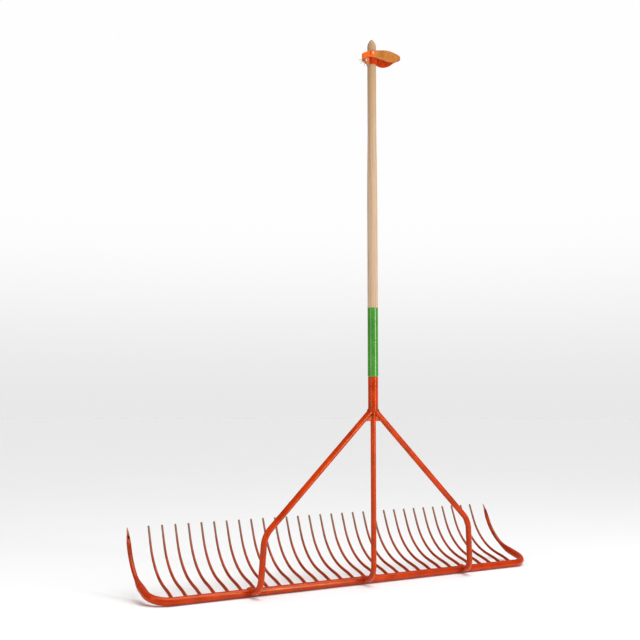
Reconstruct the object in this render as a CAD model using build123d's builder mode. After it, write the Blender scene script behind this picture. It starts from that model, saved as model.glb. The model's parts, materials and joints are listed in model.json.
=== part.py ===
from build123d import *
import os
from math import cos, pi, radians, sin

os.makedirs("parts", exist_ok=True)

# Leaf rake. X runs along the cross bar, Y points the way the tines leave it, Z points up the handle.
# The origin is on the cross bar's centreline, midway between its two ends.

# Row of teeth
tooth_pitch = 37.0
thin_tine_count = 30
tine_root_d = 9.0
tine_tip_d = 5.4
tine_weld_length = 7.0
tine_weld_edge = 0.3
tine_tip_round = 1.6

# Side line shared by every tooth: straight, then one long bend, then straight to the tip
rise_angle = 15.0
tip_angle = 67.0
tine_straight = 81.0
tine_bend_radius = 160.0
tip_straight = 46.0

# Cross bar, a round tube whose two ends are bent back into the row of teeth
bar_d = 20.0
bar_wall = 2.0
end_bend_radius = 52.0
end_tooth_x = 593.5
end_tooth_d = 11.6
end_tooth_tip_d = 4.6
end_tooth_bore = 6.0
bore_above_cut = 20.0
bore_offset = 1.0
bore_depth = 45.0
reducer_length = 50.0
tip_cut_length = 44.0
station_gap = 24.0
cut_overrun = 11.0

# Struts, which stand in front of the bar and curve back onto it
head_offset = 54.0
apex_z = 462.0
side_strut_d = 16.0
centre_strut_d = 14.6
shoulder_x = 323.0
shoulder_z = 145.0
shoulder_y = -52.0
shoulder_radius = 62.0
foot_x = 331.0
foot_y = -47.0
foot_end_x = 338.0
foot_end_z = 4.5
side_foot_radius = 34.0
centre_foot_radius = 40.0
strut_overrun = 20.0
foot_weld_length = 3.0
foot_weld_spread = 2.2
foot_weld_edge = 0.5
socket_weld_r = 4.0
socket_weld_sink = 3.0
socket_weld_x = 6.0
web_bottom_z = 428.0
web_thickness = 4.0

# Socket and handle
socket_d = 27.0
socket_bore = 24.0
socket_bottom_z = 456.0
socket_top_z = 547.0
tenon_bottom_z = 476.0
handle_d = 28.2
handle_top_d = 24.6
full_width_top_z = 1060.0
slim_bottom_z = 1240.0
dome_height = 22.0
handle_top_z = 1497.5
shoulder_chamfer = 1.2

# Leather hanging strap
strap_thickness = 2.4
collar_bottom_z = 1421.0
collar_top_z = 1449.5
loop_bottom_z = 1436.5
loop_top_z = 1466.0
loop_end_x = 96.0
loop_start_x = -15.0
loop_flat_x = 8.0
loop_half = 17.5
loop_bulge = 6.5
loop_bulge_x = 44.0
loop_taper_x = 81.6
loop_top_cut_x = 69.0
loop_nose_z = 1455.5
loop_brow_x = 90.24
loop_brow_z = 1463.05
loop_under_x = 80.64
loop_under_z = 1444.76
loop_overrun = 2.0
rivet_x = -7.0
rivet_z = 1452.5
rivet_d = 3.0
rivet_head_d = 7.5
rivet_head_height = 2.2
rivet_head_round = 1.5
fold_length = 25.0
fold_depth = 12.0
fold_round = 5.4
fold_y = -60.5
fold_bottom_z = 1424.0
fold_top_z = 1456.0
fold_tack_x = -26.0
fold_tack_z = 1430.0
clearance = 0.4

# Worked-out values
tine_arc = tine_bend_radius * radians(tip_angle - rise_angle)
tooth_length = tine_straight + tine_arc + tip_straight
handle_y = -head_offset
bend_start_x = end_tooth_x - end_bend_radius
rise = Vector(0, cos(radians(rise_angle)), sin(radians(rise_angle)))
handle_top_r = handle_top_d / 2
strut_fall = (apex_z - shoulder_z) / shoulder_x
loop_height = loop_top_z - loop_bottom_z


def tooth_line(distance):
    """Y, Z and slope in degrees of the teeth's side line at a distance from the bar's centreline."""
    run = min(distance, tine_straight)
    y = run * cos(radians(rise_angle))
    z = run * sin(radians(rise_angle))
    turned = min(max(distance - tine_straight, 0), tine_arc) / tine_bend_radius
    start = radians(rise_angle)
    y += tine_bend_radius * (sin(start + turned) - sin(start))
    z += tine_bend_radius * (cos(start) - cos(start + turned))
    last = max(distance - tine_straight - tine_arc, 0)
    y += last * cos(radians(tip_angle))
    z += last * sin(radians(tip_angle))
    return y, z, rise_angle + turned * 180 / pi


def tooth_plane(x, distance):
    """Plane square to a tooth, its own X along the bar and its own Y away from the tooth's hollow side."""
    y, z, slope = tooth_line(distance)
    forward = (0, cos(radians(slope)), sin(radians(slope)))
    return Plane(origin=(x, y, z), x_dir=(1, 0, 0), z_dir=forward)


def tine_diameter(distance):
    """Diameter of a thin tine, which tapers evenly from root to tip."""
    return tine_root_d + (tine_tip_d - tine_root_d) * distance / tooth_length


def end_tooth_diameter(distance):
    """Diameter of an end tooth: the bar's own size, drawn down to a slimmer tube and then to its tip."""
    share = min((distance - tine_straight) / reducer_length, 1)
    ease = share * share * (3 - 2 * share)
    tip_share = max(distance - tooth_length + tip_straight, 0) / tip_straight
    return bar_d + (end_tooth_d - bar_d) * ease + (end_tooth_tip_d - end_tooth_d) * tip_share


def write(builder, name):
    """Label a finished piece and write its STEP file."""
    builder.part.label = name
    export_step(builder.part, "parts/" + name + ".step")


# Plain solids that the pieces are fitted against
bar_core = Rot(0, 90, 0) * Cylinder(bar_d / 2, 2 * bend_start_x + 20)

# Handle: turned ash pole with a slimmer tenon, a slim top third and an egg-shaped end
with BuildPart() as handle:
    with BuildSketch(Plane.XZ.offset(head_offset)):
        with BuildLine():
            dome_base = handle_top_z - dome_height
            l1 = Line((0, tenon_bottom_z), (socket_bore / 2, tenon_bottom_z))
            l2 = Line(l1 @ 1, (socket_bore / 2, socket_top_z))
            l3 = Line(l2 @ 1, (handle_d / 2 - shoulder_chamfer, socket_top_z))
            l4 = Line(l3 @ 1, (handle_d / 2, socket_top_z + shoulder_chamfer))
            l5 = Line(l4 @ 1, (handle_d / 2, full_width_top_z))
            l6 = Spline(l5 @ 1, (handle_top_r, slim_bottom_z), tangents=((0, 1), (0, 1)))
            l7 = Line(l6 @ 1, (handle_top_r, dome_base))
            shoulder = (handle_top_r * sin(pi / 4), dome_base + dome_height * sin(pi / 4))
            l8 = Spline(l7 @ 1, shoulder, (0, handle_top_z), tangents=((0, 1), (-1, 0)))
            l9 = Line(l8 @ 1, l1 @ 0)
        make_face()
    revolve(axis=Axis((0, handle_y, 0), (0, 0, 1)))
    with Locations((rivet_x, handle_y, rivet_z)):
        Cylinder(rivet_d / 2, 2 * handle_d, rotation=(90, 0, 0), mode=Mode.SUBTRACT)
write(handle, "handle")


def bent_rod(points, radii, diameter):
    """Round rod swept along straight runs joined by tangent bends."""
    with BuildPart() as rod:
        with BuildLine() as route:
            FilletPolyline(*points, radius=radii)
        start = Vector(*points[0])
        with BuildSketch(Plane(origin=start, z_dir=Vector(*points[1]) - start)):
            Circle(diameter / 2)
        sweep(path=route.wires()[0])
        add(bar_core, mode=Mode.SUBTRACT)
    return rod


# Side struts: from the socket's foot, out and down to a rounded shoulder, then down and back to the bar.
# Each stops at the mid plane, where the two meet under the socket.
side_struts = {}
for name, side in (("left_strut", -1), ("right_strut", 1)):
    route_points = [
        (-side * strut_overrun, handle_y, apex_z + strut_overrun * strut_fall),
        (side * shoulder_x, shoulder_y, shoulder_z),
        (side * foot_x, foot_y, foot_end_z),
        (side * foot_end_x, 0, foot_end_z),
    ]
    strut = bent_rod(route_points, (shoulder_radius, side_foot_radius), side_strut_d)
    keep_side = Keep.BOTTOM if side < 0 else Keep.TOP
    with BuildPart() as trimmed:
        add(strut.part)
        split(bisect_by=Plane.YZ, keep=keep_side)
    side_struts[name] = trimmed

# Centre strut: straight down between the side struts, then back to the bar
centre_points = [(0, handle_y, apex_z), (0, handle_y, foot_end_z), (0, 0, foot_end_z)]
centre_strut = bent_rod(centre_points, (centre_foot_radius,), centre_strut_d)
write(centre_strut, "centre_strut")

for name, strut in side_struts.items():
    with BuildPart() as coped:
        add(strut.part)
        add(centre_strut.part, mode=Mode.SUBTRACT)
    side_struts[name] = coped
    write(coped, name)

# Socket: a steel tube, its foot notched to sit over the three struts
with BuildPart() as socket_tube:
    with BuildSketch(Plane.XY.offset(socket_bottom_z)):
        with Locations((0, handle_y)):
            Circle(socket_d / 2)
            Circle(socket_bore / 2, mode=Mode.SUBTRACT)
    extrude(amount=socket_top_z - socket_bottom_z)
    add(centre_strut.part, mode=Mode.SUBTRACT)
    for strut in side_struts.values():
        add(strut.part, mode=Mode.SUBTRACT)
write(socket_tube, "socket_tube")

# Webs: flat plates that fill the two corners between the struts
for name, side in (("left_web", -1), ("right_web", 1)):
    axis_x = (apex_z - web_bottom_z) / strut_fall
    with BuildPart() as web:
        with BuildSketch(Plane.XZ.offset(head_offset - web_thickness / 2)):
            with BuildLine():
                Polyline((0, web_bottom_z), (side * axis_x, web_bottom_z), (0, apex_z), close=True)
            make_face()
        extrude(amount=web_thickness)
        add(centre_strut.part, mode=Mode.SUBTRACT)
        add(side_struts[name.replace("web", "strut")].part, mode=Mode.SUBTRACT)
        add(socket_tube.part, mode=Mode.SUBTRACT)
    write(web, name)

# Cross bar: one tube with both ends bent back along the line of the teeth
with BuildPart() as cross_bar:
    with BuildLine() as bar_line:
        ends = []
        for side in (-1, 1):
            straight_end = Vector(side * bend_start_x, 0, 0)
            middle = Vector(side * sin(pi / 4) * end_bend_radius, 0, 0)
            middle = straight_end + middle + rise * (end_bend_radius * (1 - cos(pi / 4)))
            bend_end = straight_end + Vector(side * end_bend_radius, 0, 0) + rise * end_bend_radius
            tube_end = Vector(side * end_tooth_x, 0, 0) + rise * tine_straight
            ThreePointArc(straight_end, middle, bend_end)
            Line(bend_end, tube_end)
            ends.append((straight_end, tube_end))
        Line(ends[0][0], ends[1][0])
    with BuildSketch(Plane(origin=ends[0][1], z_dir=rise)):
        Circle(bar_d / 2)
        Circle(bar_d / 2 - bar_wall, mode=Mode.SUBTRACT)
    sweep(path=bar_line.wires()[0])
write(cross_bar, "cross_bar")

# End teeth: the tube drawn down, curved up and cut on a slant to a slender point
cut_start = tooth_length - tip_cut_length
for name, side in (("end_tooth_left", -1), ("end_tooth_right", 1)):
    x = side * end_tooth_x
    reducer_stations = [tine_straight + reducer_length * share / 4 for share in range(5)]
    arc_end = tine_straight + tine_arc
    curve_stations = [tine_straight + reducer_length + station_gap * step for step in range(1, 4)]
    stations = reducer_stations + curve_stations + [arc_end, arc_end + tip_straight / 2, tooth_length]
    with BuildPart() as end_tooth:
        for distance in stations:
            with BuildSketch(tooth_plane(x, distance)):
                Circle(end_tooth_diameter(distance) / 2)
        loft()
        with BuildSketch(tooth_plane(x, cut_start + bore_above_cut)):
            with Locations((0, -bore_offset)):
                Circle(end_tooth_bore / 2)
        extrude(amount=-bore_depth, mode=Mode.SUBTRACT)
        with BuildSketch(Plane.YZ.offset(x - end_tooth_d)):
            with BuildLine():
                tip_plane = tooth_plane(x, tooth_length)
                cut_plane = tooth_plane(x, cut_start)
                point = tip_plane.origin + tip_plane.y_dir * (end_tooth_tip_d / 2)
                heel = cut_plane.origin - cut_plane.y_dir * (end_tooth_d / 2)
                beyond = (point - heel).normalized() * cut_overrun
                aside = tip_plane.y_dir * (-2 * end_tooth_d)
                low = heel - beyond
                high = point + beyond
                Polyline(
                    (low.Y, low.Z),
                    (high.Y, high.Z),
                    ((high + aside).Y, (high + aside).Z),
                    ((low + aside).Y, (low + aside).Z),
                    close=True,
                )
            make_face()
        extrude(amount=2 * end_tooth_d, mode=Mode.SUBTRACT)
    write(end_tooth, name)

# Thin tines and the weld bead round the root of each
tine_stations = [0, tine_straight / 2]
tine_stations += [tine_straight + tine_arc * share / 5 for share in range(6)]
tine_stations += [tooth_length - tip_straight / 2, tooth_length]
with BuildPart() as tine_at_centre:
    for distance in tine_stations:
        with BuildSketch(tooth_plane(0, distance)):
            Circle(tine_diameter(distance) / 2)
    loft()
    tip_edge = tine_at_centre.edges().sort_by(Axis.Z)[-1]
    fillet(tip_edge, tine_tip_round)
    add(bar_core, mode=Mode.SUBTRACT)

with BuildPart() as weld_at_centre:
    with BuildSketch(tooth_plane(0, bar_d / 2 - tine_weld_length / 2)):
        Circle(tine_root_d / 2 + tine_weld_length / 2)
    with BuildSketch(tooth_plane(0, bar_d / 2 + tine_weld_length / 2)):
        Circle(tine_root_d / 2 + tine_weld_edge)
    loft()
    add(bar_core, mode=Mode.SUBTRACT)
    add(tine_at_centre.part, mode=Mode.SUBTRACT)

tine_xs = [(index - (thin_tine_count - 1) / 2) * tooth_pitch for index in range(thin_tine_count)]
for number, x in enumerate(tine_xs, start=1):
    with BuildPart() as tine:
        with Locations((x, 0, 0)):
            add(tine_at_centre.part)
    write(tine, f"tine_{number:02d}")

with BuildPart() as tine_welds:
    with Locations(*[(x, 0, 0) for x in tine_xs]):
        add(weld_at_centre.part)
    add(cross_bar.part, mode=Mode.SUBTRACT)
write(tine_welds, "tine_welds")

# Foot welds: a bead that fills the corner between each strut's end and the bar's front
left_foot = ("left_foot_weld", -foot_x, foot_y, -foot_end_x, side_strut_d)
centre_foot = ("centre_foot_weld", 0, handle_y, 0, centre_strut_d)
right_foot = ("right_foot_weld", foot_x, foot_y, foot_end_x, side_strut_d)
for name, corner_x, corner_y, end_x, diameter in (left_foot, centre_foot, right_foot):
    end = Vector(end_x, 0, foot_end_z)
    forward = (end - Vector(corner_x, corner_y, foot_end_z)).normalized()
    bead_start = end - forward * (bar_d / 2 + foot_weld_length)
    with BuildPart() as foot_weld:
        with BuildSketch(Plane(origin=bead_start, z_dir=forward)):
            Circle(diameter / 2 + foot_weld_edge)
        with BuildSketch(Plane(origin=end, z_dir=forward)):
            Circle(diameter / 2 + foot_weld_spread)
        loft()
        with BuildSketch(Plane(origin=bead_start, z_dir=forward)):
            Circle(diameter / 2)
        extrude(amount=2 * bar_d, mode=Mode.SUBTRACT)
        add(bar_core, mode=Mode.SUBTRACT)
    write(foot_weld, name)

# Socket welds: beads in the corners where the struts leave the socket's foot, two aside and two in front
side_bead_z = apex_z - (socket_d / 2 - side_strut_d / 2 / cos(pi / 4)) * strut_fall + socket_weld_r / 2
front_bead_y = handle_y - socket_d / 2 + socket_weld_sink
bead_centres = [
    (-socket_d / 2, handle_y, side_bead_z),
    (socket_d / 2, handle_y, side_bead_z),
    (-socket_weld_x, front_bead_y, socket_bottom_z),
    (socket_weld_x, front_bead_y, socket_bottom_z),
]
with BuildPart() as socket_welds:
    with Locations(*bead_centres):
        Sphere(socket_weld_r)
    with Locations((0, handle_y, socket_top_z)):
        Cylinder(socket_d / 2, 2 * (socket_top_z - socket_bottom_z), mode=Mode.SUBTRACT)
    add(centre_strut.part, mode=Mode.SUBTRACT)
    for strut in side_struts.values():
        add(strut.part, mode=Mode.SUBTRACT)
write(socket_welds, "socket_welds")

# Strap collar: a leather band wrapped tight round the handle
with BuildPart() as strap_collar:
    with BuildSketch(Plane.XY.offset(collar_bottom_z)):
        with Locations((0, handle_y)):
            Circle(handle_top_r + strap_thickness)
            Circle(handle_top_r, mode=Mode.SUBTRACT)
    extrude(amount=collar_top_z - collar_bottom_z)
write(strap_collar, "strap_collar")


def loop_side(inset, side):
    """Points along one side of the hanging loop as seen from above, from its flat start to its nose."""
    sizes = (
        (loop_start_x, loop_half),
        (loop_flat_x, loop_half),
        (loop_bulge_x, loop_half + loop_bulge),
        (loop_taper_x - inset / 2, loop_half - inset / 5),
        (loop_end_x - inset, inset),
    )
    return [(x, handle_y + side * (half - inset)) for x, half in sizes]


# Hanging loop: a leather strip on edge, bent round in a teardrop, its far end cut to a rounded leaf
with BuildPart() as strap_loop:
    with BuildSketch(Plane.XY.offset(loop_bottom_z)):
        with BuildLine():
            rims = []
            for inset in (0, strap_thickness):
                front = loop_side(inset, -1)
                back = loop_side(inset, 1)
                Line(front[0], front[1])
                Spline(*front[1:], *back[-2:0:-1], tangents=((1, 0), (-1, 0)))
                Line(back[1], back[0])
                rims.append((front[0], back[0]))
            Line(rims[0][0], rims[1][0])
            Line(rims[0][1], rims[1][1])
        make_face()
    extrude(amount=loop_height)
    with BuildSketch(Plane.XZ.offset(-handle_y - 2 * loop_half)):
        with BuildLine():
            nose = (loop_end_x + loop_overrun, loop_nose_z)
            start_x = loop_start_x - loop_overrun
            start = Line((start_x, loop_bottom_z), (start_x, loop_top_z))
            top = Line(start @ 1, (loop_top_cut_x, loop_top_z))
            ThreePointArc(top @ 1, (loop_brow_x, loop_brow_z), nose)
            under = (loop_under_x, loop_under_z)
            belly = ThreePointArc(nose, under, (loop_end_x / 2, loop_bottom_z))
            Line(belly @ 1, start @ 0)
        make_face()
    extrude(amount=4 * loop_half, mode=Mode.INTERSECT)
    with Locations((rivet_x, handle_y, rivet_z)):
        Cylinder(rivet_d / 2 + clearance, 4 * loop_half, rotation=(90, 0, 0), mode=Mode.SUBTRACT)
write(strap_loop, "strap_loop")

# Loop rivet: one pin right through the handle, with a rounded head outside each side of the loop
with BuildPart() as loop_rivet:
    with Locations((rivet_x, handle_y, rivet_z)):
        Cylinder(rivet_d / 2, 2 * (loop_half + clearance), rotation=(90, 0, 0))
    for side in (-1, 1):
        head_y = handle_y + side * (loop_half + clearance + rivet_head_height / 2)
        with Locations((rivet_x, head_y, rivet_z)):
            Cylinder(rivet_head_d / 2, rivet_head_height, rotation=(90, 0, 0))
    rims = loop_rivet.edges().filter_by(GeomType.CIRCLE).sort_by(Axis.Y)
    fillet([rims[0], rims[-1]], rivet_head_round)
write(loop_rivet, "loop_rivet")

# Strap fold: the doubled end of the strap, standing out beside the collar, and the tack through it
collar_r = handle_top_r + strap_thickness
with BuildPart() as strap_fold:
    with BuildSketch(Plane.XY.offset(fold_bottom_z)):
        with Locations((-(fold_length + collar_r) / 2, fold_y)):
            RectangleRounded(fold_length + collar_r, fold_depth, fold_round)
        with Locations((0, handle_y)):
            Circle(collar_r, mode=Mode.SUBTRACT)
    extrude(amount=fold_top_z - fold_bottom_z)
    with Locations((rivet_x, handle_y, rivet_z)):
        Cylinder(rivet_d / 2 + clearance, 4 * loop_half, rotation=(90, 0, 0), mode=Mode.SUBTRACT)
write(strap_fold, "strap_fold")

with BuildPart() as fold_tack:
    with Locations((fold_tack_x, fold_y - (fold_depth + rivet_head_height) / 2, fold_tack_z)):
        Cylinder(rivet_head_d / 2, rivet_head_height, rotation=(90, 0, 0))
    fillet(fold_tack.edges().filter_by(GeomType.CIRCLE).sort_by(Axis.Y)[0], rivet_head_round)
write(fold_tack, "fold_tack")
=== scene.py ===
import json
from math import cos, pi, radians, sin, sqrt

import bpy
from mathutils import Matrix, Vector, noise


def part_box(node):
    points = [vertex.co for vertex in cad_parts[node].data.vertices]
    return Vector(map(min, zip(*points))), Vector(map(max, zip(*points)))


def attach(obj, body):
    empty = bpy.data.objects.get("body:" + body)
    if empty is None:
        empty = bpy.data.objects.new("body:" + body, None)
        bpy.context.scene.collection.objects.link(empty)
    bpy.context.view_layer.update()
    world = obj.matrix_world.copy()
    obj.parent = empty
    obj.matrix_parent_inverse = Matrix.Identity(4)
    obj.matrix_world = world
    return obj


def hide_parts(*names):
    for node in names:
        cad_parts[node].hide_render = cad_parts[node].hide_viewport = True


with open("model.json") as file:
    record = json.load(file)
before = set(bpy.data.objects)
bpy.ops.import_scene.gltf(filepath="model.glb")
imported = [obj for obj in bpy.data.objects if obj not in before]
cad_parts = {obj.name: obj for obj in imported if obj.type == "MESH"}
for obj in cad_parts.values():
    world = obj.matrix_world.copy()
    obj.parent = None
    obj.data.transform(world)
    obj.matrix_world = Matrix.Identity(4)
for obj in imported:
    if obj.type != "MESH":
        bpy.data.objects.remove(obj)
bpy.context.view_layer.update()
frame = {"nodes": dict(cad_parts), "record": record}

MM = 0.001
ROOT_BODY = "rake"
LOOP_BODY = "strap_loop_body"


# ---------------------------------------------------------------- small helpers

def srgb(red, green, blue):
    """Linear colour from the usual 0 to 255 display values."""
    def channel(value):
        value /= 255
        return value / 12.92 if value <= 0.04045 else ((value + 0.055) / 1.055) ** 2.4
    return (channel(red), channel(green), channel(blue), 1.0)


def make_piece(name, vertices, faces, materials, face_slots=None):
    """A smooth mesh object with its origin at the row's origin."""
    mesh = bpy.data.meshes.new(name)
    mesh.from_pydata([tuple(v) for v in vertices], [], faces)
    for material in materials:
        mesh.materials.append(material)
    for index, polygon in enumerate(mesh.polygons):
        polygon.use_smooth = True
        if face_slots:
            polygon.material_index = face_slots[index]
    mesh.validate()
    mesh.update()
    piece = bpy.data.objects.new(name, mesh)
    bpy.context.scene.collection.objects.link(piece)
    return piece


def place(piece, body, slot, *nodes):
    """Ride on a body and stand for CAD nodes. The slot argument is not used."""
    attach(piece, body)
    if nodes:
        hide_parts(*nodes)
    return piece


def tube_mesh(path, radii, sides):
    """Vertices and faces of a closed round rod along a path, with a flat end each side."""
    vertices, faces = [], []
    count = len(path)
    side_axis = None
    for i, centre in enumerate(path):
        ahead = path[min(i + 1, count - 1)] - path[max(i - 1, 0)]
        ahead.normalize()
        if side_axis is None:
            helper = Vector((1, 0, 0)) if abs(ahead.x) < 0.9 else Vector((0, 0, 1))
            side_axis = ahead.cross(helper).normalized()
        side_axis = (side_axis - ahead * side_axis.dot(ahead)).normalized()
        other_axis = ahead.cross(side_axis)
        for k in range(sides):
            angle = 2 * pi * k / sides
            vertices.append(centre + (side_axis * cos(angle) + other_axis * sin(angle)) * radii[i])
    for i in range(count - 1):
        for k in range(sides):
            a = i * sides + k
            b = i * sides + (k + 1) % sides
            faces.append((a, b, b + sides, a + sides))
    faces.append(tuple(reversed(range(sides))))
    faces.append(tuple((count - 1) * sides + k for k in range(sides)))
    return vertices, faces


def join_meshes(parts):
    """One vertex list and face list from several."""
    vertices, faces = [], []
    for part_vertices, part_faces in parts:
        start = len(vertices)
        vertices += part_vertices
        faces += [tuple(index + start for index in face) for face in part_faces]
    return vertices, faces


# ---------------------------------------------------------------- materials

class Nodes:
    """A short way to build a node material."""

    def __init__(self, name):
        self.material = bpy.data.materials.new(name)
        self.material.use_nodes = True
        self.tree = self.material.node_tree
        self.tree.nodes.clear()
        self.output = self.tree.nodes.new("ShaderNodeOutputMaterial")

    def add(self, kind, **settings):
        node = self.tree.nodes.new("ShaderNode" + kind)
        for key, value in settings.items():
            setattr(node, key, value)
        return node

    def link(self, source, target):
        self.tree.links.new(source, target)

    def shader(self, **sockets):
        shader = self.add("BsdfPrincipled")
        for key, value in sockets.items():
            shader.inputs[key.replace("_", " ")].default_value = value
        return shader

    def place_coordinates(self, scale):
        """Object coordinates, scaled on each axis."""
        coordinates = self.add("TexCoord")
        mapping = self.add("Mapping")
        mapping.inputs["Scale"].default_value = scale
        self.link(coordinates.outputs["Object"], mapping.inputs["Vector"])
        return mapping.outputs["Vector"]

    def noise(self, vector, scale, detail=4.0, roughness=0.55):
        texture = self.add("TexNoise")
        texture.inputs["Scale"].default_value = scale
        texture.inputs["Detail"].default_value = detail
        texture.inputs["Roughness"].default_value = roughness
        self.link(vector, texture.inputs["Vector"])
        return texture.outputs["Fac"]

    def ramp(self, value, stops):
        """A colour ramp from (place, colour) pairs."""
        ramp = self.add("ValToRGB")
        elements = ramp.color_ramp.elements
        while len(elements) < len(stops):
            elements.new(0.5)
        for element, (where, colour) in zip(elements, stops):
            element.position = where
            element.color = colour
        self.link(value, ramp.inputs["Fac"])
        return ramp.outputs["Color"]

    def grey(self, value, stops):
        """A ramp of plain numbers."""
        return self.ramp(value, [(where, (level, level, level, 1.0)) for where, level in stops])

    def mix(self, factor, first, second):
        """The first colour at factor 0 and the second at factor 1."""
        mix = self.add("Mix", data_type="RGBA")
        sockets = (mix.inputs["Factor"], mix.inputs[6], mix.inputs[7])
        for socket, value in zip(sockets, (factor, first, second)):
            if isinstance(value, (float, tuple)):
                socket.default_value = value
            else:
                self.link(value, socket)
        return mix.outputs[2]

    def maths(self, operation, first, second=0.0):
        node = self.add("Math", operation=operation)
        for socket, value in zip(node.inputs, (first, second)):
            if isinstance(value, (int, float)):
                socket.default_value = value
            else:
                self.link(value, socket)
        return node.outputs[0]

    def height_share(self, low, high, axis=2):
        """0 at one coordinate and 1 at another along an axis."""
        coordinates = self.add("TexCoord")
        separate = self.add("SeparateXYZ")
        self.link(coordinates.outputs["Object"], separate.inputs[0])
        spread = self.add("MapRange")
        spread.inputs["From Min"].default_value = low
        spread.inputs["From Max"].default_value = high
        self.link(separate.outputs[axis], spread.inputs["Value"])
        return spread.outputs["Result"]

    def off_line(self, side_x, y, z, slope):
        """Distance from the nearer of two sloping lines, in the planes X = side_x and X = -side_x."""
        coordinates = self.add("TexCoord")
        separate = self.add("SeparateXYZ")
        self.link(coordinates.outputs["Object"], separate.inputs[0])
        across = self.maths("SUBTRACT", self.maths("ABSOLUTE", separate.outputs[0]), side_x)
        ahead = self.maths("MULTIPLY", self.maths("SUBTRACT", separate.outputs[1], y), sin(slope))
        above = self.maths("MULTIPLY", self.maths("SUBTRACT", separate.outputs[2], z), cos(slope))
        off = self.maths("SUBTRACT", ahead, above)
        across_squared = self.maths("MULTIPLY", across, across)
        off_squared = self.maths("MULTIPLY", off, off)
        return self.maths("SQRT", self.maths("ADD", across_squared, off_squared))

    def bump(self, heights, strength, distance):
        bump = self.add("Bump")
        bump.inputs["Strength"].default_value = strength
        bump.inputs["Distance"].default_value = distance
        self.link(heights, bump.inputs["Height"])
        return bump.outputs["Normal"]

    def finish(self, shader):
        self.link(shader.outputs[0], self.output.inputs["Surface"])
        return self.material


def dark_patches_above_bar(m, flat, colour):
    """Dark patches that fade in just above the cross bar."""
    patches = m.grey(m.noise(flat, 52.0, 4.0, 0.6), [(0.42, 0.0), (0.58, 0.85)])
    patches = m.maths("MULTIPLY", patches, m.height_share(12 * MM, 65 * MM))
    return m.mix(patches, colour, srgb(122, 36, 10))


def bore_painted_shade(m, colour, bore):
    """Painted shade inside a bore: a dark colour that stops at its lowest and highest Z."""
    axis = m.off_line(bore["side_x"], bore["y"], bore["z"], bore["slope"])
    inside = m.grey(m.maths("DIVIDE", axis, bore["radius"]), [(0.96, 1.0), (1.0, 0.0)])
    above_foot = m.height_share(bore["lowest"], bore["lowest"] + 1 * MM)
    below_mouth = m.height_share(bore["highest"], bore["highest"] - 1 * MM)
    inside = m.maths("MULTIPLY", m.maths("MULTIPLY", inside, above_foot), below_mouth)
    # Painted shade: the inside of the bore gets a dark colour where shade falls.
    return m.mix(inside, colour, srgb(52, 30, 22))


def steel_paint(name, light, dark, roughness, worn_from=None, worn_to=None, bore=None):
    """Sprayed paint on steel: cloudy colour, painted shade darker low down, with orange-peel bump.
    Between two heights it wears through to bare metal. With a bore it gets dark patches, and painted
    shade inside the bore."""
    m = Nodes(name)
    flat = m.place_coordinates((1, 1, 1))
    clouds = m.noise(flat, 26.0, 5.0)
    colour = m.ramp(clouds, [(0.36, dark), (0.62, light)])
    # Painted shade: the colour darkens towards the bottom, in place of the dimmer light there.
    low = m.height_share(0.42, 0.02)
    colour = m.mix(m.grey(low, [(0.0, 0.0), (1.0, 0.45)]), colour, dark)
    dust = m.grey(m.noise(flat, 260.0, 3.0, 0.7), [(0.62, 0.0), (0.82, 0.12)])
    colour = m.mix(dust, colour, srgb(214, 96, 40))
    gloss = m.grey(m.noise(flat, 60.0, 6.0), [(0.25, roughness - 0.08), (0.75, roughness + 0.10)])
    if bore is not None:
        colour = dark_patches_above_bar(m, flat, colour)
    if worn_from is not None:
        ragged = m.maths("MULTIPLY", m.noise(flat, 120.0, 6.0, 0.65), 1.3)
        worn = m.maths("MULTIPLY", m.height_share(worn_from, worn_to), ragged)
        worn = m.grey(worn, [(0.18, 0.0), (0.62, 1.0)])
        colour = m.mix(worn, colour, srgb(140, 108, 92))
        gloss = m.mix(worn, gloss, (0.5, 0.5, 0.5, 1.0))
    if bore is not None:
        # Painted shade inside the end tooth's bore.
        colour = bore_painted_shade(m, colour, bore)
    shader = m.shader(Specular_IOR_Level=0.5, Specular_Tint=(1.0, 0.70, 0.34, 1.0))
    m.link(colour, shader.inputs["Base Color"])
    m.link(gloss, shader.inputs["Roughness"])
    ripples = m.maths("MULTIPLY", m.noise(flat, 70.0, 3.0), 2.0)
    peel = m.maths("ADD", m.noise(flat, 900.0, 2.0), ripples)
    m.link(m.bump(peel, 0.25, 0.0002), shader.inputs["Normal"])
    return m.finish(shader)


def weld_paint(name):
    """The same paint over a rippled weld bead, with painted shade darker in its hollows."""
    m = Nodes(name)
    flat = m.place_coordinates((1, 1, 1))
    lumps_and_hollow_shade = m.noise(flat, 480.0, 5.0, 0.6)
    # Painted shade: the bead's hollows, low in the bump, get the darker colour.
    colour = m.ramp(lumps_and_hollow_shade, [(0.30, srgb(150, 36, 2)), (0.65, srgb(204, 58, 6))])
    shader = m.shader(Roughness=0.42, Specular_IOR_Level=0.4, Specular_Tint=(1.0, 0.62, 0.22, 1.0))
    m.link(colour, shader.inputs["Base Color"])
    m.link(m.bump(lumps_and_hollow_shade, 0.6, 0.0006), shader.inputs["Normal"])
    return m.finish(shader)


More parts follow.
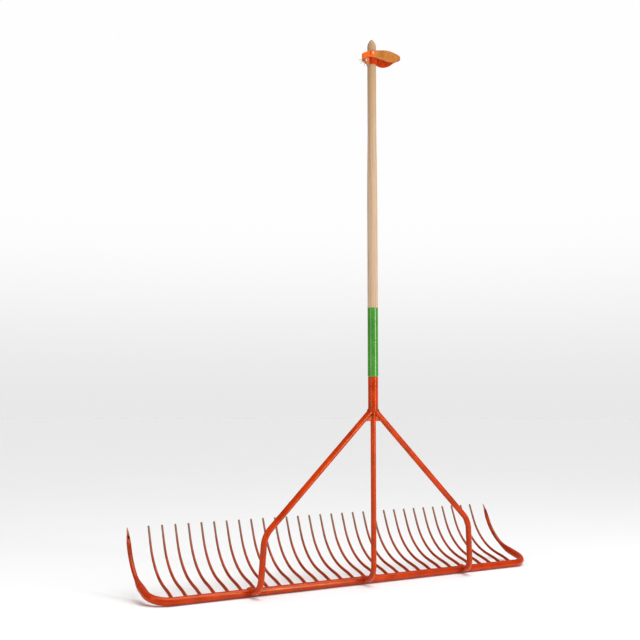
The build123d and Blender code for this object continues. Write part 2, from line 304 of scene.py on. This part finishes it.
def wood_and_paint(name, paint_top, handle_top):
    """Sanded ash with long grain, and glossy green paint up to a slightly uneven line."""
    m = Nodes(name)
    along = m.place_coordinates((1, 1, 0.045))
    bend = m.noise(along, 34.0, 3.0)
    rings = m.add("TexWave", wave_type="BANDS", bands_direction="X", wave_profile="SAW")
    rings.inputs["Scale"].default_value = 62.0
    rings.inputs["Distortion"].default_value = 7.5
    rings.inputs["Detail"].default_value = 2.0
    rings.inputs["Detail Scale"].default_value = 0.9
    m.link(along, rings.inputs["Vector"])
    grain = m.ramp(rings.outputs["Fac"], [(0.0, srgb(214, 184, 154)), (0.62, srgb(206, 174, 143)),
                                          (0.88, srgb(184, 148, 116)), (1.0, srgb(206, 175, 144))])
    fibres = m.noise(m.place_coordinates((1, 1, 0.02)), 900.0, 3.0, 0.6)
    grain = m.mix(m.grey(fibres, [(0.42, 0.0), (0.75, 0.45)]), grain, srgb(174, 138, 106))
    grain = m.mix(m.grey(bend, [(0.30, 0.35), (0.60, 0.0)]), grain, srgb(224, 198, 170))
    handled = m.height_share(paint_top + 0.35, handle_top)
    grain = m.mix(m.grey(handled, [(0.0, 0.0), (0.8, 0.7)]), grain, srgb(180, 142, 100))
    wood = m.shader(Roughness=0.6, Specular_IOR_Level=0.2)
    m.link(grain, wood.inputs["Base Color"])
    ridges = m.maths("ADD", rings.outputs["Fac"], m.maths("MULTIPLY", fibres, 0.8))
    m.link(m.bump(ridges, 0.35, 0.0003), wood.inputs["Normal"])

    flat = m.place_coordinates((1, 1, 1))
    green = m.ramp(m.noise(flat, 30.0, 4.0), [(0.3, srgb(56, 134, 26)), (0.7, srgb(72, 152, 38))])
    paint = m.shader(Roughness=0.2, Specular_IOR_Level=0.5, Coat_Weight=0.5, Coat_Roughness=0.08)
    m.link(green, paint.inputs["Base Color"])
    waves = m.maths("MULTIPLY", m.noise(flat, 55.0, 3.0), 1.4)
    sag = m.maths("ADD", waves, m.maths("MULTIPLY", fibres, 0.3))
    m.link(m.bump(sag, 0.3, 0.0003), paint.inputs["Normal"])

    edge = m.maths("ADD", m.height_share(paint_top - 0.004, paint_top + 0.004),
                   m.maths("MULTIPLY", m.maths("SUBTRACT", m.noise(flat, 150.0, 3.0), 0.5), 0.9))
    blend = m.add("MixShader")
    m.link(m.grey(edge, [(0.46, 0.0), (0.54, 1.0)]), blend.inputs[0])
    m.link(paint.outputs[0], blend.inputs[1])
    m.link(wood.outputs[0], blend.inputs[2])
    return m.finish(blend)


def leather(name, light, dark, roughness, edge_dye=None):
    """Dyed leather: cloudy dye, fine pebbled grain with painted shade in its creases, and pores. An edge
    dye runs in from the low X end.
    """
    m = Nodes(name)
    flat = m.place_coordinates((1, 1, 1))
    clouds = m.noise(flat, 75.0, 6.0, 0.6)
    colour = m.ramp(clouds, [(0.30, dark), (0.70, light)])
    if edge_dye is not None:
        reach = m.maths("ADD", m.height_share(-0.008, 0.012, 0), m.maths("MULTIPLY", clouds, 0.5))
        colour = m.mix(m.grey(reach, [(0.25, 0.0), (0.95, 1.0)]), edge_dye, colour)
    cells = m.add("TexVoronoi", feature="DISTANCE_TO_EDGE")
    cells.inputs["Scale"].default_value = 1100.0
    m.link(flat, cells.inputs["Vector"])
    # Painted shade: the grain's creases, at the cell edges, get the darker colour.
    crease_shade = m.grey(cells.outputs["Distance"], [(0.0, 0.35), (0.12, 0.0)])
    colour = m.mix(crease_shade, colour, dark)
    shader = m.shader(Roughness=roughness, Specular_IOR_Level=0.12)
    m.link(colour, shader.inputs["Base Color"])
    pores = m.maths("MULTIPLY", m.noise(flat, 300.0, 4.0), 0.6)
    grain = m.maths("ADD", cells.outputs["Distance"], pores)
    m.link(m.bump(grain, 0.5, 0.0004), shader.inputs["Normal"])
    return m.finish(shader)


def bright_metal(name):
    """Domed tack heads: pale plated steel with fine scratches."""
    m = Nodes(name)
    flat = m.place_coordinates((1, 1, 1))
    scratch = m.noise(m.place_coordinates((1, 1, 9)), 700.0, 4.0)
    colour = m.ramp(m.noise(flat, 260.0, 3.0), [(0.3, srgb(206, 148, 122)), (0.7, srgb(236, 186, 160))])
    shader = m.shader(Metallic=1.0)
    m.link(colour, shader.inputs["Base Color"])
    m.link(m.grey(scratch, [(0.3, 0.40), (0.7, 0.58)]), shader.inputs["Roughness"])
    m.link(m.bump(scratch, 0.15, 0.0001), shader.inputs["Normal"])
    return m.finish(shader)


# The bore that gets painted shade inside: its line ends at the tip and slopes with it. Its radius is a
# little over the real one.
tooth_low, tooth_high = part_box("end_tooth_right")
tooth_bore = {
    "side_x": (tooth_low.x + tooth_high.x) / 2,
    "y": tooth_high.y - 3.04 * MM,
    "z": tooth_high.z - 0.5 * MM,
    "slope": radians(67),
    "radius": 3.15 * MM,
    "lowest": 112 * MM,
    "highest": 136 * MM,
}

bar_orange = srgb(208, 57, 2)
bar_orange_dark = srgb(172, 40, 0)
orange_paint = steel_paint("orange_paint", bar_orange, bar_orange_dark, 0.20)
tine_paint = steel_paint("tine_paint", srgb(180, 60, 20), srgb(146, 42, 14), 0.34,
                         worn_from=0.03, worn_to=0.165)
end_tooth_paint = steel_paint("end_tooth_paint", bar_orange, bar_orange_dark, 0.24,
                              worn_from=0.09, worn_to=0.19, bore=tooth_bore)
bead_paint = weld_paint("bead_paint")
tan_leather = leather("tan_leather", srgb(198, 126, 60), srgb(174, 106, 42), 0.66, srgb(242, 112, 44))
brown_leather = leather("brown_leather", srgb(216, 142, 98), srgb(178, 104, 66), 0.7)
orange_leather = leather("orange_leather", srgb(214, 68, 10), srgb(174, 44, 0), 0.62)
bright_leather = leather("bright_leather", srgb(254, 110, 6), srgb(238, 92, 2), 0.6)
raw_edge = leather("raw_edge", srgb(230, 170, 124), srgb(200, 134, 90), 0.75)
tack_metal = bright_metal("tack_metal")
dark_thread = leather("dark_thread", srgb(92, 62, 58), srgb(48, 34, 34), 0.8)


# ---------------------------------------------------------------- handle

handle_low, handle_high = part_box("handle")
socket_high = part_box("socket_tube")[1]
pole_x = (handle_low.x + handle_high.x) / 2
pole_y = (handle_low.y + handle_high.y) / 2
pole_r = (handle_high.x - handle_low.x) / 2
pole_top_r = pole_r * 0.872
tenon_r = pole_r * 0.84
tenon_length = 60 * MM
dome_height = 22 * MM
slim_from = 1.06
slim_to = 1.24
green_top = 0.7356


def pole_radius(z):
    """Radius of the turned pole at a height."""
    if z < slim_from:
        return pole_r
    if z < slim_to:
        share = (z - slim_from) / (slim_to - slim_from)
        return pole_r + (pole_top_r - pole_r) * share * share * (3 - 2 * share)
    return pole_top_r


def build_pole():
    """The turned pole: tenon, chamfered shoulder, long shaft and egg-shaped end."""
    rings = [(socket_high.z - tenon_length, tenon_r), (socket_high.z, tenon_r)]
    rings += [(socket_high.z + 0.05 * MM, pole_r * 0.90), (socket_high.z + 0.4 * MM, pole_r * 0.945)]
    rings += [(socket_high.z + 1.4 * MM, pole_r * 0.99), (socket_high.z + 3 * MM, pole_r)]
    dome_base = handle_high.z - dome_height
    shaft_start = socket_high.z + 6 * MM
    shaft_steps = 90
    for step in range(shaft_steps + 1):
        z = shaft_start + (dome_base - shaft_start) * step / shaft_steps
        rings.append((z, pole_radius(z)))

    cap_start = radians(47)
    cap_base = handle_high.z - 1.2 * MM
    dome_steps = 16
    for step in range(1, dome_steps + 1):
        share = step / dome_steps
        radius = pole_top_r * (1 - (0.91 * share) ** 1.8) ** 0.75
        rings.append((dome_base + (cap_base - dome_base) * share, radius))

    # A round cap closes the dome without a point.
    cap_r = radius / cos(cap_start)
    cap_steps = 6
    for step in range(1, cap_steps + 1):
        turn = cap_start + (pi / 2 - cap_start) * step / cap_steps
        rise = cap_r * (sin(turn) - sin(cap_start))
        rings.append((cap_base + rise, max(cap_r * cos(turn), 0.15 * MM)))

    path = [Vector((pole_x, pole_y, z)) for z, _ in rings]
    vertices, faces = tube_mesh(path, [radius for _, radius in rings], 64)
    ash_and_green = wood_and_paint("ash_and_green", green_top, handle_high.z)
    return make_piece("handle_pole", vertices, faces, [ash_and_green])


place(build_pole(), ROOT_BODY, "ash_wood", "handle")


# ---------------------------------------------------------------- steel that keeps its CAD shape

def dress(node, material):
    """Give a CAD node its material."""
    mesh = frame["nodes"][node].data
    mesh.materials.clear()
    mesh.materials.append(material)


for entry in frame["record"]["subparts"]:
    if entry["material_slot"] == "orange_paint":
        dress(entry["node"], end_tooth_paint if "end_tooth" in entry["node"] else orange_paint)
    elif entry["material_slot"] == "tine_paint":
        dress(entry["node"], tine_paint)
dress("tine_welds", bead_paint)


# ---------------------------------------------------------------- weld beads

bar_r = 10 * MM
side_strut_r = 8 * MM
centre_strut_r = 7.3 * MM
foot_z = 4.5 * MM          # height of a strut's foot over the bar's own axis
foot_middle = 6 * MM       # how far in front of the bar's axis a foot's box is centred
foot_lean = 0.14           # how far the outer feet lean inward, in X for each unit of Y
foot_bead_r = 2.2 * MM
rim_bead_r = 3.1 * MM
shoulder_bead_r = 1.9 * MM


def weld_bead(seam, radius, closed):
    """A rippled weld bead laid along a seam, tapering at its ends unless it closes on itself."""
    count, sides = len(seam), 16
    centre = sum(seam, Vector()) / count
    vertices, faces = [], []
    for i, point in enumerate(seam):
        before = seam[i - 1] if closed or i else seam[0]
        after = seam[(i + 1) % count] if closed or i < count - 1 else seam[-1]
        ahead = (after - before).normalized()
        outward = point - centre
        outward = (outward - ahead * outward.dot(ahead)).normalized()
        across = ahead.cross(outward)
        ripple = 1 + 0.05 * sin(i * 1.3) + 0.14 * noise.noise(point * 300)
        taper = 1 if closed else min(1, 0.45 + 0.2 * min(i, count - 1 - i))
        for k in range(sides):
            angle = 2 * pi * k / sides
            spoke = outward * cos(angle) + across * sin(angle)
            vertices.append(point + spoke * radius * ripple * taper)
    for i in range(count if closed else count - 1):
        for k in range(sides):
            a, b = i * sides + k, i * sides + (k + 1) % sides
            faces.append((a, b, (b + sides) % (count * sides), (a + sides) % (count * sides)))
    if not closed:
        faces.append(tuple(reversed(range(sides))))
        faces.append(tuple((count - 1) * sides + k for k in range(sides)))
    return vertices, faces


def foot_seam(node, strut_r):
    """The closed seam where a strut's last run meets the cross bar and passes over its top."""
    low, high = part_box(node)
    x = (low.x + high.x) / 2
    lean = 0
    if abs(x) > strut_r:
        lean = foot_lean if x > 0 else -foot_lean
    seam = []
    points = 60
    for k in range(points):
        angle = 2 * pi * k / points
        z = foot_z + strut_r * sin(angle)
        y = -sqrt(max(bar_r * bar_r - z * z, 0))
        seam.append(Vector((x + strut_r * cos(angle) + lean * (y + foot_middle), y, z)))
    return seam


def build_foot_bead(node, strut_r):
    """The bead round one strut's foot on the cross bar."""
    vertices, faces = weld_bead(foot_seam(node, strut_r), foot_bead_r, True)
    return make_piece(node + "_bead", vertices, faces, [bead_paint])


def build_socket_beads():
    """A bead round the front of the socket's foot, and one over each side strut where it leaves."""
    low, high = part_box("socket_tube")
    x = (low.x + high.x) / 2
    y = (low.y + high.y) / 2
    wall_r = (high.x - low.x) / 2
    rim_r = wall_r - 2.9 * MM
    rim = []
    for k in range(81):
        angle = radians(-100 + 2.5 * k)
        rim.append(Vector((x + rim_r * sin(angle), y - rim_r * cos(angle), low.z + 0.2 * MM)))
    parts = [weld_bead(rim, rim_bead_r, False)]
    for side in (-1, 1):
        shoulder = []
        for k in range(31):
            angle = radians(-62 + 124 * k / 30)
            shoulder.append(Vector((x + side * (wall_r + 0.3 * MM), y + 8.4 * MM * sin(angle),
                                    low.z - 6.9 * MM + 11.0 * MM * cos(angle))))
        parts.append(weld_bead(shoulder, shoulder_bead_r, False))
    vertices, faces = join_meshes(parts)
    return make_piece("socket_foot_beads", vertices, faces, [bead_paint])


place(build_foot_bead("left_foot_weld", side_strut_r), ROOT_BODY, "orange_paint", "left_foot_weld")
place(build_foot_bead("centre_foot_weld", centre_strut_r), ROOT_BODY, "orange_paint", "centre_foot_weld")
place(build_foot_bead("right_foot_weld", side_strut_r), ROOT_BODY, "orange_paint", "right_foot_weld")
place(build_socket_beads(), ROOT_BODY, "orange_paint", "socket_welds")


# ---------------------------------------------------------------- leather strap

collar_low, collar_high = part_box("strap_collar")
loop_low, loop_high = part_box("strap_loop")
fold_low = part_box("strap_fold")[0]
strap_thick = (collar_high.x - collar_low.x) / 2 - pole_top_r


def leather_strip(name, stations, thickness, materials, wobble=0.2 * MM):
    """A leather strip on edge. Each station is (point, outward direction, lowest z, highest z).
    Its outer face, inner face and raw edges take the first, second and third material."""
    rounding = thickness * 0.45
    face_rows = 9
    profile = []
    for row in range(face_rows):
        profile.append((0.5, row / (face_rows - 1)))
    for row in reversed(range(face_rows)):
        profile.append((-0.5, row / (face_rows - 1)))
    count = len(profile)
    vertices, faces, slots = [], [], []
    for point, outward, low, high in stations:
        for across, up in profile:
            z = low + (high - low) * up
            depth = thickness
            if up in (0.0, 1.0):
                z += rounding * 0.4 * (1 if up == 0.0 else -1)
                depth = thickness - rounding
            sway = noise.noise(Vector((point.x, point.y, z)) * 38) * wobble
            place_at = point + outward * (across * depth + sway)
            vertices.append(Vector((place_at.x, place_at.y, z)))
    for i in range(len(stations) - 1):
        for k in range(count):
            a, b = i * count + k, i * count + (k + 1) % count
            faces.append((a, b, b + count, a + count))
            if k < face_rows - 1:
                slots.append(0)
            elif k in (face_rows - 1, count - 1):
                slots.append(2)
            else:
                slots.append(1)
    faces.append(tuple(reversed(range(count))))
    faces.append(tuple((len(stations) - 1) * count + k for k in range(count)))
    slots += [0, 0]
    return make_piece(name, vertices, faces, materials, slots)


def smooth_route(points, steps):
    """Points of a smooth plan curve through the given plan points."""
    curve = bpy.data.curves.new("route", "CURVE")
    curve.dimensions = "3D"
    curve.resolution_u = steps
    spline = curve.splines.new("NURBS")
    spline.points.add(len(points) - 1)
    for spline_point, (x, y) in zip(spline.points, points):
        spline_point.co = (x, y, 0, 1)
    spline.order_u = 3
    spline.use_endpoint_u = True
    holder = bpy.data.objects.new("route", curve)
    mesh = bpy.data.meshes.new_from_object(holder)
    route = [v.co.copy() for v in mesh.vertices]
    bpy.data.objects.remove(holder)
    bpy.data.curves.remove(curve)
    bpy.data.meshes.remove(mesh)
    return route


def outward_directions(route, centre):
    """Unit plan directions square to the route, pointing away from a centre."""
    directions = []
    for i, point in enumerate(route):
        ahead = route[min(i + 1, len(route) - 1)] - route[max(i - 1, 0)]
        side = Vector((ahead.y, -ahead.x, 0)).normalized()
        if side.dot(point - centre) < 0:
            side.negate()
        directions.append(side)
    return directions


def between(where, keys):
    """A smooth value at a place, from (place, value) pairs in rising order."""
    if where <= keys[0][0]:
        return keys[0][1]
    slopes = [0.0]
    for before, after in zip(keys, keys[2:]):
        slopes.append((after[1] - before[1]) / (after[0] - before[0]))
    slopes.append(0.0)
    for index, ((low, first), (high, second)) in enumerate(zip(keys, keys[1:])):
        if where <= high:
            span = high - low
            t = (where - low) / span
            level = first * (2 * t ** 3 - 3 * t ** 2 + 1) + second * (3 * t ** 2 - 2 * t ** 3)
            rise = slopes[index] * span * (t ** 3 - 2 * t ** 2 + t)
            fall = slopes[index + 1] * span * (t ** 3 - t ** 2)
            return level + rise + fall
    return keys[-1][1]


def build_loop():
    """The teardrop loop: tan outside, orange inside, narrow at the rivet and rounded at the nose."""
    front = loop_low.y + strap_thick / 2
    back = loop_high.y - strap_thick / 2
    middle = (front + back) / 2
    flat_half = (back - front) / 2 - 6.5 * MM
    nose = loop_high.x - strap_thick / 2 - 3 * MM
    start = loop_low.x + 2 * MM
    side = [(start, flat_half), (start + 12 * MM, flat_half), (start + 25 * MM, flat_half + 0.6 * MM),
            (start + 42 * MM, flat_half + 7 * MM), (start + 64 * MM, flat_half + 7 * MM),
            (start + 87 * MM, flat_half + 1.5 * MM), (nose - 2 * MM, flat_half * 0.7),
            (nose + 1 * MM, 0.0)]
    points = [(x, middle - half) for x, half in side] + [(x, middle + half) for x, half in side[-2::-1]]
    route = smooth_route(points, 10)
    centre = Vector(((start + nose) / 2, middle, 0))
    top_edge = [(start, -7.5 * MM), (4 * MM, -4 * MM), (34 * MM, -1 * MM), (66 * MM, -1.8 * MM),
                (nose, -3.4 * MM)]
    front_edge = [(start, 6.5 * MM), (4 * MM, 3 * MM), (38 * MM, -3.4 * MM), (64 * MM, 0.5 * MM),
                  (nose, 17 * MM)]
    back_edge = [(start, 1 * MM), (20 * MM, 1 * MM), (50 * MM, -3 * MM), (70 * MM, 3 * MM),
                 (nose, 17 * MM)]
    stations = []
    for point, outward in zip(route, outward_directions(route, centre)):
        low = loop_low.z + between(point.x, front_edge if point.y < middle else back_edge)
        high = loop_high.z + between(point.x, top_edge)
        stations.append((point, outward, low, high))
    return leather_strip("strap_loop_leather", stations, strap_thick,
                         [tan_leather, orange_leather, raw_edge])


def build_collar():
    """The band round the handle."""
    stations = []
    steps = 72
    radius = pole_top_r + strap_thick / 2 + 0.1 * MM
    for step in range(steps + 1):
        turn = 2 * pi * step / steps
        outward = Vector((cos(turn), sin(turn), 0))
        point = Vector((pole_x, pole_y, 0)) + outward * radius
        sag = 0.8 * MM * sin(turn + 0.6)
        stations.append((point, outward, collar_low.z + 0.8 * MM + sag, collar_high.z - 0.8 * MM + sag))
    return leather_strip("strap_collar_leather", stations, strap_thick * 0.92,
                         [orange_leather, orange_leather, raw_edge], 0.1 * MM)


def build_fold():
    """The strap's other end: it slopes down from the rivet to the left, turns back on itself and
    returns lower down to the collar, with its tan side showing."""
    lap_y = loop_low.y + 6.5 * MM + strap_thick + 0.3 * MM + strap_thick / 2
    tip = fold_low.x + 3 * MM
    turn_y = fold_low.y + 3 * MM
    back_y = fold_low.y + 6 * MM
    points = [(-1 * MM, lap_y), (-12 * MM, lap_y), (-24 * MM, lap_y + 0.5 * MM),
              (tip + 2 * MM, lap_y + 0.6 * MM), (tip - 1 * MM, turn_y), (tip + 2 * MM, back_y),
              (-24 * MM, back_y - 1.6 * MM), (-14 * MM, back_y), (-8 * MM, back_y + 1 * MM)]
    route = smooth_route(points, 8)
    centre = Vector((-20 * MM, turn_y, 0))
    low_edge = [(0.0, 17 * MM), (0.42, 9.5 * MM), (0.52, 7.5 * MM), (0.66, -1 * MM), (0.85, -6 * MM),
                (1.0, -4 * MM)]
    top_edge = [(0.0, 35.4 * MM), (0.40, 24 * MM), (0.52, 22 * MM), (0.70, 20 * MM), (1.0, 18 * MM)]
    stations = []
    for index, (point, outward) in enumerate(zip(route, outward_directions(route, centre))):
        share = index / (len(route) - 1)
        low = fold_low.z + between(share, low_edge)
        high = fold_low.z + between(share, top_edge)
        stations.append((point, outward, low, high))
    return leather_strip("strap_fold_leather", stations, strap_thick,
                         [bright_leather, brown_leather, raw_edge])


def domed_head(face_centre, facing, radius, height):
    """A domed metal head standing on a face."""
    rings = 12
    path, radii = [], []
    for ring in range(rings + 1):
        turn = pi / 2 * ring / rings
        path.append(face_centre + facing * (height * sin(turn)))
        radii.append(max(radius * cos(turn) ** 0.8, 0.05 * MM))
    path[1] = face_centre + facing * (height * 0.14)
    return tube_mesh(path, radii, 32)


def build_rivets():
    """The heads at the front and back of the loop, on one pin."""
    low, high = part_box("loop_rivet")
    x, z = (low.x + high.x) / 2, (low.z + high.z) / 2
    radius = (high.x - low.x) / 2
    head = 2.2 * MM
    front = domed_head(Vector((x, low.y + head, z)), Vector((0, -1, 0)), radius, head)
    back = domed_head(Vector((x, high.y - head, z)), Vector((0, 1, 0)), radius, head)
    pin_path = [Vector((x, low.y + head + (high.y - low.y - 2 * head) * k / 6, z)) for k in range(7)]
    pin = tube_mesh(pin_path, [1.5 * MM] * 7, 24)
    vertices, faces = join_meshes([front, back, pin])
    return make_piece("loop_rivet_metal", vertices, faces, [tack_metal])


def build_fold_tack():
    """The tack head in the doubled end."""
    low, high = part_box("fold_tack")
    centre = Vector(((low.x + high.x) / 2, high.y, (low.z + high.z) / 2))
    head = domed_head(centre, Vector((0, -1, 0)), (high.x - low.x) / 2, high.y - low.y)
    shank_path = [centre + Vector((0, (k - 0.5) * MM, 0)) for k in range(9)]
    shank = tube_mesh(shank_path, [1.6 * MM] * 8 + [0.4 * MM], 20)
    vertices, faces = join_meshes([head, shank])
    return make_piece("fold_tack_metal", vertices, faces, [tack_metal])


def build_thread_ends():
    """Short stiff ends of waxed thread that stick out of the doubled end."""
    left_root = Vector((fold_low.x + 9 * MM, fold_low.y + 4 * MM, fold_low.z + 6 * MM))
    low_root = Vector((fold_low.x + 15 * MM, fold_low.y + 4 * MM, fold_low.z + 1 * MM))
    tails = ((left_root, Vector((-16, -1, -7))),
             (left_root, Vector((-12, 2, -12))),
             (left_root, Vector((-19, 0, -1))),
             (low_root, Vector((-9, -3, -13))),
             (low_root, Vector((2, -4, -11))))
    droop = Vector((0, 0, -2.5 * MM))
    shares = [k / 8 for k in range(9)]
    parts = []
    for root, tail in tails:
        path = [root + tail * MM * share + droop * share * share for share in shares]
        parts.append(tube_mesh(path, [(0.6 - 0.35 * share) * MM for share in shares], 10))
    vertices, faces = join_meshes(parts)
    return make_piece("strap_thread_ends", vertices, faces, [dark_thread])


place(build_loop(), LOOP_BODY, "tan_leather", "strap_loop")
place(build_collar(), ROOT_BODY, "orange_leather", "strap_collar")
place(build_fold(), ROOT_BODY, "orange_leather", "strap_fold")
place(build_rivets(), ROOT_BODY, "tack_steel", "loop_rivet")
place(build_fold_tack(), ROOT_BODY, "tack_steel", "fold_tack")
place(build_thread_ends(), ROOT_BODY, "orange_leather")


# ---------------------------------------------------------------- floor, light and camera

cad_low_z = min(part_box("cross_bar")[0].z, 0)


def build_floor():
    """A wide plain floor just under the cross bar."""
    material = Nodes("pale_floor")
    shader = material.shader(Roughness=0.9, Specular_IOR_Level=0.1)
    cloud = material.noise(material.place_coordinates((1, 1, 1)), 1.5, 2.0)
    material.link(material.ramp(cloud, [(0.0, (0.94, 0.94, 0.94, 1)), (1.0, (0.96, 0.96, 0.96, 1))]),
                  shader.inputs["Base Color"])
    reach, sides = 40.0, 64
    rim = [Vector((reach * cos(2 * pi * k / sides), reach * sin(2 * pi * k / sides), cad_low_z - 1 * MM))
           for k in range(sides)]
    floor = make_piece("pale_floor", rim, [tuple(range(sides))], [material.finish(shader)])


def aim(lamp, location, target):
    """Stand a lamp at a place, facing a target."""
    holder = bpy.data.objects.new(lamp.name, lamp)
    holder.location = location
    holder.rotation_euler = (Vector(target) - Vector(location)).to_track_quat("-Z", "Y").to_euler()
    bpy.context.scene.collection.objects.link(holder)


def strip_light(name, plan_turn, distance, width, height, power):
    """A tall upright softbox. Its plan turn is measured from the front, toward +X."""
    lamp = bpy.data.lights.new(name, "AREA")
    lamp.shape = "RECTANGLE"
    lamp.size = width
    lamp.size_y = height
    lamp.energy = power
    turn = radians(plan_turn)
    middle_z = height / 2 + 0.1
    location = (distance * sin(turn), pole_y - distance * cos(turn), middle_z)
    aim(lamp, location, (0, pole_y, middle_z))


def top_sun(strength, spread):
    """A broad even light from above, which lights the floor the same all over."""
    lamp = bpy.data.lights.new("top_sun", "SUN")
    lamp.energy = strength
    lamp.angle = radians(spread)
    aim(lamp, (0.5, -0.5, 3.0), (0, 0, 0))


def build_world(horizon, backdrop, ambient):
    """An even room: a backdrop that sweeps up out of the floor's tone, and a lower level as light."""
    world = bpy.data.worlds.new("studio")
    world.use_nodes = True
    tree = world.node_tree
    tree.nodes.clear()
    output = tree.nodes.new("ShaderNodeOutputWorld")
    seen = tree.nodes.new("ShaderNodeBackground")
    direction = tree.nodes.new("ShaderNodeTexCoord")
    split = tree.nodes.new("ShaderNodeSeparateXYZ")
    sweep = tree.nodes.new("ShaderNodeMapRange")
    sweep.interpolation_type = "SMOOTHSTEP"
    sweep.inputs["From Max"].default_value = 0.22
    sweep.inputs["To Min"].default_value = horizon
    sweep.inputs["To Max"].default_value = backdrop
    tree.links.new(direction.outputs["Generated"], split.inputs[0])
    tree.links.new(split.outputs["Z"], sweep.inputs["Value"])
    tree.links.new(sweep.outputs[0], seen.inputs["Strength"])
    light = tree.nodes.new("ShaderNodeBackground")
    light.inputs["Strength"].default_value = ambient
    for shader in (seen, light):
        shader.inputs["Color"].default_value = (1, 1, 1, 1)
    path = tree.nodes.new("ShaderNodeLightPath")
    choice = tree.nodes.new("ShaderNodeMixShader")
    tree.links.new(path.outputs["Is Camera Ray"], choice.inputs[0])
    tree.links.new(light.outputs[0], choice.inputs[1])
    tree.links.new(seen.outputs[0], choice.inputs[2])
    tree.links.new(choice.outputs[0], output.inputs["Surface"])
    bpy.context.scene.world = world


build_floor()
strip_light("left_softbox", -78, 2.4, 0.5, 2.4, 14)
strip_light("right_softbox", 26, 2.6, 0.34, 2.4, 42)
top_sun(2.2, 50)
build_world(0.81, 0.99, 0.20)
bpy.context.scene.view_settings.view_transform = "Standard"

# The camera stands to the left of the rake, below half its height, and looks slightly up.
view_turn = radians(29.744)
view_rise = radians(5.758)
view_roll = radians(0.101)
view_distance = 2.312
view_target = Vector((-0.1661, pole_y, 0.6940))
looking = Vector((sin(view_turn) * cos(view_rise), cos(view_turn) * cos(view_rise), sin(view_rise)))
camera_data = bpy.data.cameras.new("camera")
camera_data.sensor_width = 36
camera_data.lens = 49.285
camera_data.clip_end = 100
camera = bpy.data.objects.new("camera", camera_data)
turned = looking.to_track_quat("-Z", "Y").to_matrix().to_4x4()
stand = Matrix.Translation(view_target - looking * view_distance)
camera.matrix_world = stand @ turned @ Matrix.Rotation(view_roll, 4, "Z")
bpy.context.scene.collection.objects.link(camera)
bpy.context.scene.camera = camera
